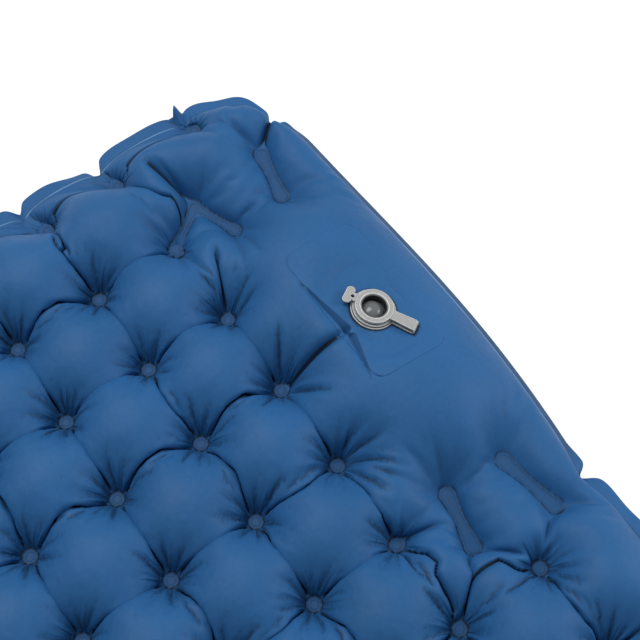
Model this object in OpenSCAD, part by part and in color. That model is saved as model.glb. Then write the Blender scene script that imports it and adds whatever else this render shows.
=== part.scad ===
// Inflatable sleeping pad: two sheets welded together at a quilt of dots and round the edge,
// with a flip-cap air valve on a patch near one corner. Millimetres.
// +Z is up, +Y runs to the head end, and the origin is on the ground below the middle.

/* [Quilt] */
// Distance from one weld dot to the next, along and across
dot_pitch = 80; // [72:1:88]
// Columns of weld dots across the pad
columns = 6; // [5:1:7]
// Rows of weld dots along the pad
rows = 23; // [20:1:23]
// Outer dot columns to the weld line along the sides
side_margin = 80; // [72:1:92]
// Outer dot rows to the weld line along the ends
end_margin = 32; // [26:1:44]
// Width of the welded flange outside the weld line
flange_w = 12; // [8:1:18]
// How far the weld line is drawn in at each line of dots
draw_in = 7; // [2:0.5:9]
// How far the weld line cuts each corner off
corner_in = 12; // [8:1:18]
// Rise of the upper pillows above the weld plane
pillow_rise = 30; // [24:1:36]
// Depth of the lower pillows under the weld plane
pillow_drop = 27; // [22:1:34]
// Gap under the lower pillows along the edges, which don't reach the ground
edge_lift = 3; // [1:0.5:6]
// Side of the square on which a lower pillow rests
foot_w = 34; // [24:1:44]
// Rise of a crease midway between two dots
crease_rise = 9; // [4:1:14]
// Rise of the outermost rows' creases, midway between two dots
end_crease_rise = 18; // [10:1:22]
// Rise and depth of the narrow pillows along the ends
end_rise = 11; // [6:1:16]
// Thickness of each sheet
sheet_t = 0.5; // [0.3:0.1:1]

/* [Valve pocket] */
// Rows of dots between the valve and the head end
valve_rows = 3; // [3:1:6]
// Middle of the valve to the weld line at its side
valve_inset = 65; // [60:1:72]
// Middle of the valve past its row of dots, to the head end
valve_shift = 2; // [-4:1:6]
// Rise of the pocket above the weld plane, at the valve
pocket_rise = 37; // [32:1:44]
// Rise of the pocket beyond the patch
shoulder_rise = 33; // [28:1:38]
// Rise of the pocket next to its bar welds
pocket_end_rise = 25; // [18:1:30]
// How far the weld line bulges out beside the pocket
pocket_bulge = 8; // [2:0.5:12]
// Slope of the pocket at the valve, down to the side, in degrees
valve_tilt = 12; // [6:1:16]
// Inner bar welds to the weld line at the side
bar_in = 107; // [100:1:114]
// Outer bar welds to the weld line at the side
bar_out = 46; // [38:1:52]
// Point of the V weld to the weld line at the side
vee_in = 122; // [119:1:130]
// Point of the V weld past its row of dots
vee_up = 30; // [14:1:34]

/* [Patch] */
// Width of the patch
patch_w = 72; // [64:1:76]
// Length of the patch to the head side of the valve
patch_up = 80; // [70:1:84]
// Length of the patch to the foot side of the valve
patch_down = 56; // [50:1:60]
// Corner radius of the patch
patch_r = 12; // [6:1:20]
// Thickness of the patch
patch_t = 0.4; // [0.3:0.1:0.8]
// Flat rim of the pocket round the patch
patch_rim = 2; // [1:0.5:3]

/* [Valve base] */
// Width of the base ring, outside the neck's bore
base_rim = 8.4; // [7.6:0.1:10]
// Thickness of the base ring
base_t = 1.4; // [1.2:0.1:2]
// Width of the raised seat on the base ring
base_lip_w = 3.4; // [2.8:0.1:4.6]
// Height of the raised seat
base_lip = 0.5; // [0.3:0.1:0.8]
// Wall of the neck
neck_wall = 1.7; // [1.3:0.1:2]
// Depth of the neck under the patch's face
neck_depth = 9.5; // [9:0.5:14]
// Clearance of the neck in the patch and the sheet
neck_gap = 0.2; // [0.1:0.05:0.4]

/* [Valve seat] */
// Bore of the seat, which takes the cap's plug or a pump nozzle
seat_bore = 24; // [22:0.5:26]
// Width of the seat's ring
seat_rim = 8.3; // [7.4:0.1:8.8]
// Thickness of the seat's ring
seat_t = 1.2; // [1:0.1:1.8]
// Wall of the barrel that goes down into the neck
seat_wall = 1.5; // [1.2:0.1:1.8]
// Width of the lip that the cap closes on
seat_lip_w = 3.5; // [2.8:0.1:4.4]
// Height of that lip
seat_lip = 0.6; // [0.4:0.1:1]
// Clearance of the seat in the neck
seat_gap = 0.1; // [0.05:0.05:0.2]
// Thickness of the spoked floor
floor_t = 1.2; // [1:0.1:1.6]
// Depth of the top of the floor under the patch's face
floor_depth = 6; // [5.8:0.1:6.6]
// Spokes in the floor
spokes = 4; // [3:1:6]
// Width of a spoke
spoke_w = 1.6; // [1.2:0.1:2.4]
// Diameter of the floor's hub
hub_d = 5; // [4.6:0.1:6]

/* [Check flap] */
// Clearance round the flap in the seat, on radius
flap_rim_gap = 1; // [0.6:0.1:1.6]
// Thickness of the flap
flap_t = 0.6; // [0.5:0.1:0.9]
// Clearance between the flap and the floor
flap_gap = 0.2; // [0.1:0.05:0.3]
// Diameter of the flap's stem
stem_d = 2; // [1.6:0.1:2.4]
// Clearance round the stem, on radius
stem_gap = 0.3; // [0.2:0.05:0.5]
// How far the flap opens
flap_travel = 2; // [1.5:0.1:2.2]
// Diameter of the bead that stops the stem
bead_d = 3.8; // [3.6:0.1:4.4]
// Thickness of the bead
bead_t = 0.8; // [0.6:0.1:0.9]

/* [Cap] */
// Width of the cap's ring
cap_rim = 6.3; // [5.6:0.1:6.8]
// Thickness of the cap's ring
cap_t = 2.9; // [2.5:0.1:3.4]
// Clearance of the ring's opening inside the seat's bore, on radius
plug_gap = 0.3; // [0.25:0.05:0.5]
// Gap between the closed cap and the seat
cap_gap = 0.2; // [0.1:0.05:0.3]
// Chamfer on the ring's edges
cap_chamfer = 0.5; // [0.3:0.1:0.8]
// Middle of the finger tab's hole to the ring's edge
tab_hole_out = 4.5; // [3.5:0.5:6]
// Diameter of the hole in the finger tab
tab_hole_d = 3.9; // [3:0.1:4.2]
// Length of the finger tab from the ring's edge to the middle of its lobes
tab_out = 8; // [7:0.5:10]
// Distance between the middles of the two lobes
tab_span = 11; // [9:0.5:13]
// Diameter of a lobe
lobe_d = 7.4; // [6.6:0.2:8.4]
// Width of the tab's neck
tab_neck_w = 8.4; // [7:0.2:10]
// Thickness of the finger tab
tab_t = 2.2; // [1.8:0.1:2.4]

/* [Cap seal] */
// Clearance of the seal in the cap's ring
seal_gap = 0.1; // [0.05:0.05:0.15]
// Wall of the seal
seal_wall = 0.9; // [0.7:0.1:1.1]
// Top of the seal under the ring's top
seal_sink = 0.6; // [0.4:0.1:1]
// Depth of the plug under the ring
plug_depth = 6; // [5:0.1:6.2]
// How much the plug tapers, on radius
plug_taper = 0.8; // [0.6:0.1:1]
// Rise of the dome above the plug's floor
dome_rise = 5; // [4:0.1:6]

/* [Strap] */
// Direction of the strap, in degrees from +X
strap_angle = -60; // [-75:1:-45]
// Width of the strap
strap_w = 10.5; // [8:0.5:12]
// Thickness of the strap
strap_t = 1.4; // [1.2:0.1:1.6]
// Length of the strap from the ring's edge to the outer edge of its fold
strap_out = 21; // [18:0.5:26]
// Gap between the strap's two halves at the fold
fold_gap = 0.3; // [0.2:0.05:0.4]

/* [Hidden] */
fine = 96;
// overlap that makes the shapes of one solid into one
join = 0.6;
// how far a cut runs past the faces that it opens
past = 40;

sheet_color = [0.17, 0.33, 0.57];
patch_color = [0.20, 0.37, 0.62];
ring_color = [0.74, 0.74, 0.73];
seat_color = [0.66, 0.66, 0.65];
flap_color = [0.85, 0.85, 0.83];
seal_color = [0.42, 0.44, 0.45];

// The quilt is drawn on a half lattice: even steps are the lines of dots and the weld line,
// odd steps are midway between them.
steps_u = 2 * (columns + 1);
steps_v = 2 * (rows + 1);
half_x = (columns - 1) / 2 * dot_pitch + side_margin;
half_y = (rows - 1) / 2 * dot_pitch + end_margin;
// the pocket bulges out at one side, so the lattice moves over to keep the origin in the middle
lattice_x = -pocket_bulge / 2;
side_x = lattice_x + half_x;
weld_z = pillow_drop;

// the pocket takes the place of three dots in the outer column
pocket_u = 2 * columns;
pocket_v = 2 * (rows + 1 - valve_rows - 1);
valve_x = side_x - valve_inset;
valve_y = line_at(pocket_v, rows, half_y) + valve_shift;
platform_half = patch_w / 2 + patch_rim;
platform_low = valve_y - patch_down - patch_rim;
platform_high = valve_y + patch_up + patch_rim;
valve_z = weld_z + sheet_t + pocket_rise;

// diameters in the valve, outward from the seat's bore
barrel_d = seat_bore + 2 * seat_wall;
neck_bore = barrel_d + 2 * seat_gap;
neck_d = neck_bore + 2 * neck_wall;
base_d = neck_bore + 2 * base_rim;
seat_d = seat_bore + 2 * seat_rim;
flap_d = seat_bore - 2 * flap_rim_gap;
cap_hole_d = seat_bore - 2 * plug_gap;
cap_d = cap_hole_d + 2 * cap_rim;
tab_hole_x = cap_d / 2 + tab_hole_out;
tab_reach = cap_d / 2 + tab_out;
strap_reach = cap_d / 2 + strap_out;

// heights in the valve, from the patch's outer face
seat_z = base_t + base_lip;
seat_top = seat_z + seat_t;
cap_z = seat_top + seat_lip + cap_gap;
cap_top = cap_z + cap_t;
flap_top = -floor_depth - floor_t - flap_gap;
bead_z = -floor_depth + flap_travel + stem_gap;
plug_z = cap_z - plug_depth;
// the upper half of the strap stays under the ring's chamfer
strap_top = cap_top - cap_chamfer;
strap_low = base_t - strap_t;
fold_r = (strap_top - strap_low) / 2;
fold_z = (strap_top + strap_low) / 2;
fold_x = strap_reach - fold_r;

function line_at(step, dots, half) =
    step == 0 ? -half
    : step == 2 * (dots + 1) ? half
    : step % 2 == 0 ? (step / 2 - (dots + 1) / 2) * dot_pitch
    : (line_at(step - 1, dots, half) + line_at(step + 1, dots, half)) / 2;

function on_edge_u(u) = u == 0 || u == steps_u;
function on_edge_v(v) = v == 0 || v == steps_v;
function on_edge(u, v) = on_edge_u(u) || on_edge_v(v);
function outward(step, last) = step == 0 ? -1 : step == last ? 1 : 0;
// the narrow band of pillows between the last row of dots and an end, and that row itself
function end_band(v) = v == 1 || v == steps_v - 1;
function last_row(v) = v == 2 || v == steps_v - 2;

// where a step lies relative to the pocket
function pocket_row(v) = v - pocket_v;
function in_pocket(u, v) = abs(u - pocket_u) <= 1 && abs(pocket_row(v)) <= 3;
function on_platform(u, v) = abs(u - pocket_u) <= 1 && pocket_row(v) >= -1 && pocket_row(v) <= 2;
function beside_pocket(u, v) = u == steps_u && abs(pocket_row(v)) <= 3;
function at_bars(v) = abs(pocket_row(v)) == 4;
function at_vee(u, v) = u == pocket_u - 1 && pocket_row(v) == 4;

// how far the weld line moves in from the straight at a point of the edge
function edge_in(u, v) =
    on_edge_u(u) && on_edge_v(v) ? corner_in
    : beside_pocket(u, v) ? -pocket_bulge * (1 - pow(pocket_row(v) / 4, 2))
    : u % 2 == 0 && v % 2 == 0 ? draw_in
    : 0;

function plan_x(u, v) =
    on_platform(u, v) ? valve_x + (u - pocket_u) * platform_half
    : at_bars(v) && u == pocket_u ? side_x - bar_in
    : at_bars(v) && u == pocket_u + 1 ? side_x - bar_out
    : at_vee(u, v) ? side_x - vee_in
    : lattice_x + line_at(u, columns, half_x) - outward(u, steps_u) * edge_in(u, v);
function plan_y(u, v) =
    on_platform(u, v)
    ? platform_low + (pocket_row(v) + 1) / 3 * (platform_high - platform_low)
    : line_at(v, rows, half_y) - outward(v, steps_v) * edge_in(u, v) + (at_vee(u, v) ? vee_up : 0);

// height of the air space above the weld plane
function rise(u, v) =
    on_edge(u, v) || at_vee(u, v) ? 0
    : on_platform(u, v) ? pocket_rise - (plan_x(u, v) - valve_x) * tan(valve_tilt)
    : in_pocket(u, v) ? (abs(pocket_row(v)) == 3 ? pocket_end_rise : shoulder_rise)
    : at_bars(v) && (u == pocket_u || u == pocket_u + 1) ? 0
    : u % 2 == 0 && v % 2 == 0 ? 0
    : end_band(v) ? end_rise
    : u % 2 == 1 && v % 2 == 1 ? pillow_rise
    : last_row(v) ? end_crease_rise
    : crease_rise;
// its depth under the weld plane: the pillows that reach the ground have their feet instead
function drop(u, v) =
    on_edge(u, v) || at_vee(u, v) ? 0
    : in_pocket(u, v) ? pillow_drop - edge_lift
    : at_bars(v) && (u == pocket_u || u == pocket_u + 1) ? 0
    : u % 2 == 1 && end_band(v) ? end_rise
    : u % 2 == 1 && v % 2 == 1 ? pillow_drop - edge_lift
    : 0;

// A sheet's points are three lattices after each other: the outer face, the inner face and the rim.
layer = (steps_u + 1) * (steps_v + 1);
function id(u, v, which) = which * layer + u * (steps_v + 1) + v;
function ground_cell(u, v) = u > 1 && u < steps_u - 1 && v > 1 && v < steps_v - 1;
function rim_at(u, v) = [
    plan_x(u, v) + outward(u, steps_u) * flange_w,
    plan_y(u, v) + outward(v, steps_v) * flange_w,
    weld_z
];

// the steps midway along a cell's side that carry a point
function has_mid_outside(u, v) = v % 2 == 0 || (v > 1 && v < steps_v - 1);
function near_pocket(u, v) = abs(u - pocket_u) <= 2 && abs(pocket_row(v)) <= 4;
function has_mid_edge(u, v) = on_edge(u, v) && has_mid_outside(u, v);

// the points round a cell, anticlockwise from above; kind 0 has every mid point, kind 1 only
// those of the pocket, kind 2 only those of the edge
function keeps_mid(u, v, kind) =
    kind == 0 ? has_mid_outside(u, v)
    : kind == 1 ? near_pocket(u, v)
    : kind == 2 ? has_mid_edge(u, v)
    : false;
function ring(u, v, which, kind) = [
    for (p = [[-1, -1], [0, -1], [1, -1], [1, 0], [1, 1], [0, 1], [-1, 1], [-1, 0]])
        if (p[0] * p[1] != 0 || keeps_mid(u + p[0], v + p[1], kind))
            id(u + p[0], v + p[1], which)
];
function fan(tip, loop) = [
    for (k = [0 : len(loop) - 1]) [tip, loop[k], loop[(k + 1) % len(loop)]]
];
function flipped(faces) = [for (f = faces) [f[2], f[1], f[0]]];
function joined(lists) = [for (part = lists) each part];

// the stretches of the edge from one line of dots to the next, anticlockwise from above
stretches = [
    each [for (u = [0 : 2 : steps_u - 2]) [[u, 0], [u + 1, 0], [u + 2, 0]]],
    each [for (v = [0 : 2 : steps_v - 2]) [[steps_u, v], [steps_u, v + 1], [steps_u, v + 2]]],
    each [for (u = [steps_u : -2 : 2]) [[u, steps_v], [u - 1, steps_v], [u - 2, steps_v]]],
    each [for (v = [steps_v : -2 : 2]) [[0, v], [0, v - 1], [0, v - 2]]]
];

// the flange between the weld line and the rim, with a mid point where that side has one
function flange(s, which, kind) =
    let (
        a = id(s[0][0], s[0][1], which),
        b = id(s[1][0], s[1][1], which),
        c = id(s[2][0], s[2][1], which),
        d = id(s[0][0], s[0][1], 2),
        e = id(s[1][0], s[1][1], 2),
        f = id(s[2][0], s[2][1], 2),
        inner_mid = keeps_mid(s[1][0], s[1][1], kind),
        rim_mid = has_mid_edge(s[1][0], s[1][1])
    )
    inner_mid ? [[a, d, e], [a, e, b], [b, e, f], [b, f, c]]
    : rim_mid ? [[a, d, e], [a, e, c], [c, e, f]]
    : [[a, d, f], [a, f, c]];

// the crown points of all the cells
cells = [for (u = [1 : 2 : steps_u - 1], v = [1 : 2 : steps_v - 1]) [u, v]];

module top_shell() {
    lattice = [for (u = [0 : steps_u], v = [0 : steps_v]) [u, v]];
    points = concat(
        [for (p = lattice) [plan_x(p[0], p[1]), plan_y(p[0], p[1]), weld_z + sheet_t + rise(p[0], p[1])]],
        [for (p = lattice) [plan_x(p[0], p[1]), plan_y(p[0], p[1]), weld_z + rise(p[0], p[1])]],
        [for (p = lattice) rim_at(p[0], p[1])]
    );
    outside = joined([for (c = cells) fan(id(c[0], c[1], 0), ring(c[0], c[1], 0, 0))]);
    inside = joined([for (c = cells) fan(id(c[0], c[1], 1), ring(c[0], c[1], 1, 1))]);
    flange_out = joined([for (s = stretches) flange(s, 0, 0)]);
    flange_in = joined([for (s = stretches) flange(s, 1, 1)]);
    polyhedron(points, concat(flipped(outside), inside, flipped(flange_out), flange_in));
}

// a lower pillow that reaches the ground stands on a square foot, between its four dots
function foot_point(c, k) = [
    plan_x(c[0], c[1]) + (k == 0 || k == 3 ? -1 : 1) * foot_w / 2,
    plan_y(c[0], c[1]) + (k < 2 ? -1 : 1) * foot_w / 2,
    0
];
function foot_faces(first, loop) = concat(
    [[first, first + 1, first + 2], [first, first + 2, first + 3]],
    joined([
        for (k = [0 : 3])
            [[loop[k], loop[(k + 1) % 4], first + k], [loop[(k + 1) % 4], first + (k + 1) % 4, first + k]]
    ])
);

module bottom_sheet() {
    lattice = [for (u = [0 : steps_u], v = [0 : steps_v]) [u, v]];
    feet = [for (c = cells) if (ground_cell(c[0], c[1])) c];
    edge_cells = [for (c = cells) if (!ground_cell(c[0], c[1])) c];
    points = concat(
        [for (p = lattice) [plan_x(p[0], p[1]), plan_y(p[0], p[1]), weld_z - sheet_t - drop(p[0], p[1])]],
        [for (p = lattice) [plan_x(p[0], p[1]), plan_y(p[0], p[1]), weld_z - drop(p[0], p[1])]],
        [for (p = lattice) rim_at(p[0], p[1])],
        [for (c = feet, k = [0 : 3]) foot_point(c, k)]
    );
    on_ground = joined([
        for (n = [0 : len(feet) - 1]) foot_faces(3 * layer + 4 * n, ring(feet[n][0], feet[n][1], 0, 3))
    ]);
    off_ground = joined([for (c = edge_cells) fan(id(c[0], c[1], 0), ring(c[0], c[1], 0, 2))]);
    inside = joined([for (c = cells) fan(id(c[0], c[1], 1), ring(c[0], c[1], 1, 3))]);
    flange_out = joined([for (s = stretches) flange(s, 0, 2)]);
    flange_in = joined([for (s = stretches) flange(s, 1, 3)]);
    color(sheet_color)
        polyhedron(points, concat(on_ground, off_ground, flipped(inside), flange_out, flipped(flange_in)));
}

// from the valve's own frame, with the patch's outer face at z = 0, to the pad's
module at_valve() {
    translate([valve_x, valve_y, valve_z])
        rotate([0, valve_tilt, 0])
            translate([0, 0, patch_t])
                children();
}

module neck_hole() {
    at_valve()
        cylinder(d = neck_d + 2 * neck_gap, h = 2 * past, center = true, $fn = fine);
}

module top_sheet() {
    color(sheet_color)
        difference() {
            top_shell();
            neck_hole();
        }
}

module valve_patch() {
    // the patch's own length is along the slope's level direction, so only its width tilts
    flat_w = patch_w / cos(valve_tilt);
    color(patch_color)
        at_valve()
            translate([0, 0, -patch_t])
                linear_extrude(patch_t)
                    difference() {
                        rounded_plate(flat_w, patch_down, patch_up, patch_r);
                        circle(d = neck_d + 2 * neck_gap, $fn = fine);
                    }
}

// a plate that runs from -down to +up along Y, with true arcs at its corners
module rounded_plate(w, down, up, r) {
    union() {
        translate([-w / 2 + r, -down])
            square([w - 2 * r, down + up]);
        translate([-w / 2, -down + r])
            square([w, down + up - 2 * r]);
        for (x = [-w / 2 + r, w / 2 - r], y = [-down + r, up - r])
            translate([x, y])
                circle(r = r, $fn = fine);
    }
}

// a ring about the valve's axis
module washer(outer_d, inner_d, low, high) {
    rotate_extrude($fn = fine)
        translate([inner_d / 2, low])
            square([(outer_d - inner_d) / 2, high - low]);
}

// one half of the strap: a flat arm, and a quarter of the fold at its end.
// side is 1 for the half on the cap and -1 for the half on the base.
module strap_half(side, start) {
    arm_z = side > 0 ? strap_top - strap_t : strap_low;
    rotate([0, 0, strap_angle]) {
        translate([start, -strap_w / 2, arm_z])
            cube([fold_x - start + join / 10, strap_w, strap_t]);
        translate([fold_x, strap_w / 2, fold_z])
            rotate([90, 0, 0])
                linear_extrude(strap_w)
                    intersection() {
                        difference() {
                            circle(r = fold_r, $fn = fine);
                            circle(r = fold_r - strap_t, $fn = fine);
                        }
                        translate([0, side > 0 ? fold_gap / 2 : -fold_r])
                            square([fold_r, fold_r - fold_gap / 2]);
                    }
    }
}

module valve_base() {
    color(ring_color)
        at_valve() {
            union() {
                washer(base_d, neck_bore, 0, base_t);
                washer(neck_bore + 2 * base_lip_w, neck_bore, base_t - join, base_t + base_lip);
                washer(neck_d, neck_bore, -neck_depth, join);
                strap_half(-1, base_d / 2 - join * 2);
            }
        }
}

module valve_seat() {
    color(seat_color)
        at_valve() {
            difference() {
                union() {
                    washer(seat_d, seat_bore, seat_z, seat_top);
                    washer(seat_bore + 2 * seat_lip_w, seat_bore, seat_top - join, seat_top + seat_lip);
                    washer(barrel_d, seat_bore, -neck_depth, seat_z + join);
                    translate([0, 0, -floor_depth - floor_t])
                        cylinder(d = hub_d, h = floor_t, $fn = fine);
                    for (k = [0 : spokes - 1])
                        rotate([0, 0, k * 360 / spokes])
                            translate([0, -spoke_w / 2, -floor_depth - floor_t])
                                cube([seat_bore / 2 + join / 2, spoke_w, floor_t]);
                }
                cylinder(d = stem_d + 2 * stem_gap, h = 2 * past, center = true, $fn = fine);
            }
        }
}

module check_flap() {
    color(flap_color)
        at_valve() {
            union() {
                translate([0, 0, flap_top - flap_t])
                    cylinder(d = flap_d, h = flap_t, $fn = fine);
                translate([0, 0, flap_top - flap_t / 2])
                    cylinder(d = stem_d, h = bead_z + bead_t / 2 - flap_top + flap_t / 2, $fn = fine);
                translate([0, 0, bead_z])
                    cylinder(d = bead_d, h = bead_t, $fn = fine);
            }
        }
}

// the cap's ring in section, with chamfered edges
module ring_section() {
    inner = cap_hole_d / 2;
    outer = cap_d / 2;
    c = cap_chamfer;
    translate([0, cap_z])
        polygon([
            [inner, 0], [outer - c, 0], [outer, c], [outer, cap_t - c],
            [outer - c, cap_t], [inner + c, cap_t], [inner, cap_t - c]
        ]);
}

// the finger tab: a neck and two lobes, like a fish's tail
module tab_outline() {
    difference() {
        union() {
            translate([cap_d / 2 - 2 * join, -tab_neck_w / 2])
                square([tab_reach - cap_d / 2 + 2 * join, tab_neck_w]);
            translate([tab_reach - lobe_d / 2, -tab_span / 2])
                square([lobe_d, tab_span]);
            for (side = [-1, 1])
                translate([tab_reach, side * tab_span / 2])
                    circle(d = lobe_d, $fn = fine);
        }
        translate([tab_hole_x, 0])
            circle(d = tab_hole_d, $fn = fine);
    }
}

module valve_cap() {
    color(ring_color)
        at_valve() {
            union() {
                rotate_extrude($fn = fine)
                    ring_section();
                rotate([0, 0, strap_angle + 180])
                    translate([0, 0, strap_top - tab_t])
                        linear_extrude(tab_t)
                            tab_outline();
                strap_half(1, cap_d / 2 - join * 2);
            }
        }
}

// the seal in section: a tapered cup with a dome in its floor
module seal_section() {
    top_r = cap_hole_d / 2 - seal_gap;
    low_r = top_r - plug_taper;
    dome_r = low_r - seal_wall - join;
    // radius of the ball that the dome is cut from
    ball_r = (dome_r * dome_r + dome_rise * dome_rise) / (2 * dome_rise);
    polygon([
        [low_r - seal_wall, plug_z], [low_r, plug_z], [top_r, cap_z],
        [top_r, cap_top - seal_sink], [top_r - seal_wall, cap_top - seal_sink], [top_r - seal_wall, cap_z],
        [low_r - seal_wall, plug_z + seal_wall]
    ]);
    translate([dome_r - seal_wall, plug_z])
        square([low_r - dome_r + seal_wall / 2, seal_wall]);
    intersection() {
        translate([0, plug_z + dome_rise - ball_r])
            difference() {
                circle(r = ball_r + seal_wall, $fn = fine);
                circle(r = ball_r, $fn = fine);
            }
        translate([0, plug_z])
            square([dome_r + seal_wall, 2 * dome_rise]);
    }
}

module cap_seal() {
    color(seal_color)
        at_valve()
            rotate_extrude($fn = fine)
                seal_section();
}

top_sheet();
bottom_sheet();
valve_patch();
valve_base();
valve_seat();
check_flap();
valve_cap();
cap_seal();
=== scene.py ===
"""Air mattress: two welded sheets that are inflated by a small cloth solver, and a flip-cap valve."""

import math
from collections import namedtuple

import bmesh
import bpy
import numpy as np
from mathutils import Matrix, Vector
from mathutils.kdtree import KDTree


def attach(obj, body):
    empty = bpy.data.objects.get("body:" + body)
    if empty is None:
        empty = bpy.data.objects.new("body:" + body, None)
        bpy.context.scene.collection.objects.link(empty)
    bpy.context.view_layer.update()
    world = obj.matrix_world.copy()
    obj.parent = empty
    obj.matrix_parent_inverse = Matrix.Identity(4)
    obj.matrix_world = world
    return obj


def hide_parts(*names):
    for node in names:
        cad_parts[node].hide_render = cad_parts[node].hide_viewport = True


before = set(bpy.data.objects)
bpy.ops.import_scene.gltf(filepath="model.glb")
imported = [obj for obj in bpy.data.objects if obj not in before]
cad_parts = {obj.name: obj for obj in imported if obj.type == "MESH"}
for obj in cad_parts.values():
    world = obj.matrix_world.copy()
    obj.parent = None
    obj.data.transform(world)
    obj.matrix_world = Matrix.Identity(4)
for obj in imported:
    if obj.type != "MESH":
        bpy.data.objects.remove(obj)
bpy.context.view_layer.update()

# ---- sizes, in metres

PITCH = 0.080  # between weld dots, inflated
SLACK = 1.25  # flat cloth over inflated length
FLAT_PITCH = PITCH * SLACK
# The dot that the photo's lattice is counted from, (0, 0), is beside the valve's pocket.
DOT_X, DOT_Y = 0.116, 0.640
FIRST_COLUMN, LAST_COLUMN = -4, 1
FIRST_ROW, LAST_ROW = -19, 3
POCKET_ROWS = 2  # rows each side of row 0 that have no dot in the last column

WELD_Z = 0.027
WELD_LEFT, WELD_RIGHT, WELD_FOOT, WELD_HEAD = -0.284, 0.273, -0.912, 0.914
CORNER_R = 0.088
FLANGE_W = 0.012
NOTCH_DEPTH, NOTCH_REACH = 0.008, 0.010
BULGE, POCKET_BULGE = 0.002, 0.0125  # how far the rim swells out between two notches
# The part of the rim that swells out beside the pocket, most of all beyond its middle
POCKET_HEAD, POCKET_LENGTH, POCKET_LEAN = 0.866, 0.43, 1.4
NOTCH_CUT = 0.0055  # how far beside a notch the flange is narrowed
# One notch of the head end stands up as a little ear
EAR_AT, EAR_HEIGHT, EAR_WIDTH, EAR_WIDER = (0.192, 0.914), 0.013, 0.0035, 0.004
# The head end's last dots aren't quite on the lattice: each column's shift in x and y
LAST_ROW_SHIFTS = {-1: (-0.002, 0.005), 0: (-0.008, 0.008), 1: (0.001, 0.018)}
OTHER_SHIFT = (-0.003, 0.004)
LAST_ROW_SLACK = 0.009  # more cloth in front of these dots, and less behind them

DOT_R, BAR_R, VEE_R = 0.007, 0.0078, 0.0066
BAR_WAIST, VEE_WAIST = 0.0056, 0.0042
# Longer welds, from end to end in pitches of the lattice. The V hangs on its dot.
BARS = [
    ((1.46, 2.50), (1.34, 1.92)),
    ((1.41, -1.94), (1.53, -2.60)),
    ((0.72, -1.89), (0.60, -2.45)),
]
VEE = [((0.00, 2.05), (0.47, 2.37)), ((0.47, 2.37), (0.67, 1.86))]

VALVE = Vector((0.211, 0.642, 0.0645))
VALVE_TILT = math.radians(12)
PATCH_T = 0.0004
PATCH_HALF_W, PATCH_UP, PATCH_DOWN, PATCH_R = 0.0361, 0.080, 0.056, 0.012
BASE_R = 0.0225  # where the sheet is held flat
BASE_RING_R, RING_TRIM = 0.022, 0.0028  # the ring's radius, and how much the shown one is less
NECK_HOLE_R = 0.0155
STRAP_ANGLE = math.radians(-60)
STRAP_HALF_W, STRAP_END = 0.00525, 0.0390
TAB_HOLE, TAB_HOLE_R = (-0.0080, 0.0165), 0.0030  # the shade seen through the finger tab's hole

# ---- the flat pattern's grid

COARSE = 6  # cells to a pitch in the first grid; each level has twice as many
SIDE_CELLS, HEAD_CELLS, FLANGE_CELLS = 6, 3, 1
CORNER_CELLS = 6
LEVEL_STEPS = (400, 300, 200, 120)
FINEST = COARSE * 2 ** (len(LEVEL_STEPS) - 1)  # cells to a pitch in the last grid


class Grid:
    """Flat cloth coordinates of a grid of vertices, measured from dot (0, 0)."""

    def __init__(self, level):
        scale = 2**level
        n = COARSE * scale
        side, end = SIDE_CELLS * scale, HEAD_CELLS * scale
        self.flange = FLANGE_CELLS * scale
        self.corner = CORNER_CELLS * scale
        self.cell = FLAT_PITCH / n
        columns, rows = LAST_COLUMN - FIRST_COLUMN, LAST_ROW - FIRST_ROW
        self.nx = columns * n + 2 * (side + self.flange) + 1
        self.ny = rows * n + 2 * (end + self.flange) + 1
        i = np.arange(self.nx) - side - self.flange
        j = np.arange(self.ny) - end - self.flange
        u = (i + FIRST_COLUMN * n) * self.cell
        v = (j + FIRST_ROW * n) * self.cell
        self.U, self.V = np.meshgrid(u, v, indexing="ij")
        # cells outside the weld line along each axis, negative inside it
        out_i = np.maximum(-(i + side), i - columns * n - side)
        out_j = np.maximum(-(j + end), j - rows * n - end)
        out_i, out_j = np.meshgrid(out_i, out_j, indexing="ij")
        self.out = np.maximum(out_i, out_j)
        self._round_corners(u, v, out_i + self.corner, out_j + self.corner)

    def _round_corners(self, u, v, a, b):
        """Turns the square rings of each corner's block of cells into arcs."""
        block = (a > 0) & (b > 0)
        ring = np.maximum(a, b)
        quarter = math.pi / 4
        angle = np.where(
            a >= b,
            b / np.maximum(a, 1) * quarter,
            2 * quarter - a / np.maximum(b, 1) * quarter,
        )
        inset = (self.flange + self.corner) * self.cell
        side_u = np.sign(self.U - u.mean())
        side_v = np.sign(self.V - v.mean())
        centre_u = np.where(side_u > 0, u[-1] - inset, u[0] + inset)
        centre_v = np.where(side_v > 0, v[-1] - inset, v[0] + inset)
        radius = ring * self.cell
        self.U = np.where(block, centre_u + side_u * radius * np.cos(angle), self.U)
        self.V = np.where(block, centre_v + side_v * radius * np.sin(angle), self.V)


def smooth_step(x):
    x = np.clip(x, 0, 1)
    return x * x * (3 - 2 * x)


def segment_nearest(x, y, a, b):
    """Distance to a segment, and its nearest point."""
    dx, dy = b[0] - a[0], b[1] - a[1]
    t = ((x - a[0]) * dx + (y - a[1]) * dy) / (dx * dx + dy * dy + 1e-12)
    t = np.clip(t, 0, 1)
    near_x, near_y = a[0] + t * dx, a[1] + t * dy
    return np.hypot(x - near_x, y - near_y), near_x, near_y


# A weld in flat cloth: its two ends, the radius there and halfway, and how it is put on the pad:
# the flat point that goes to a real place, and how much larger the flat shape is.
Weld = namedtuple("Weld", "a b radius waist flat real scale")


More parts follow.
